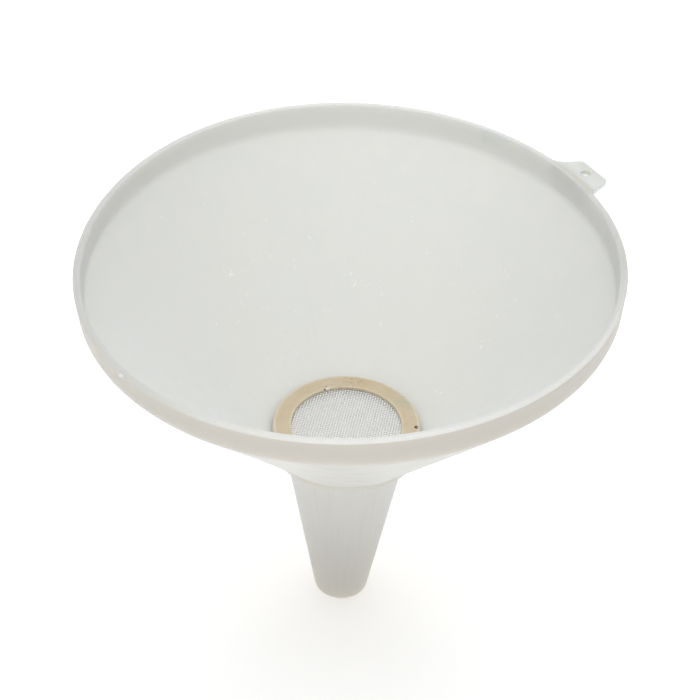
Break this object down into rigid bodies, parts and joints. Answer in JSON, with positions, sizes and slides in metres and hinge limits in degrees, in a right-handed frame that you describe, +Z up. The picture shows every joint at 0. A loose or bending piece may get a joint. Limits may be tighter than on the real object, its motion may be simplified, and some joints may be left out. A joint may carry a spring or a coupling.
{
  "type": "strainer funnel",
  "caption": "Wide-mouth moulded plastic funnel with a rim band, tapered spout, hang tab and a drop-in round strainer that lifts out.",
  "frame": {"origin": "on the funnel's axis, in the plane of the spout's open tip", "axes": "+Z up along the funnel's axis towards the mouth; +X from the axis through the hang tab"},
  "size_m": [0.2105, 0.2, 0.1785],
  "materials": {
    "funnel_body": "satin, milky translucent",
    "strainer_ring": "satin, yellowed",
    "strainer_mesh": "satin woven screen"
  },
  "bodies": {
    "funnel": {"funnel_body": "funnel_body"},
    "strainer": {"strainer_ring": "strainer_ring", "strainer_mesh": "strainer_mesh"}
  },
  "joints": [
    {"name": "strainer_lift", "type": "slide", "parent": "funnel", "child": "strainer", "axis": [0, 0, 1], "range_m": [0, 0.11]}
  ]
}
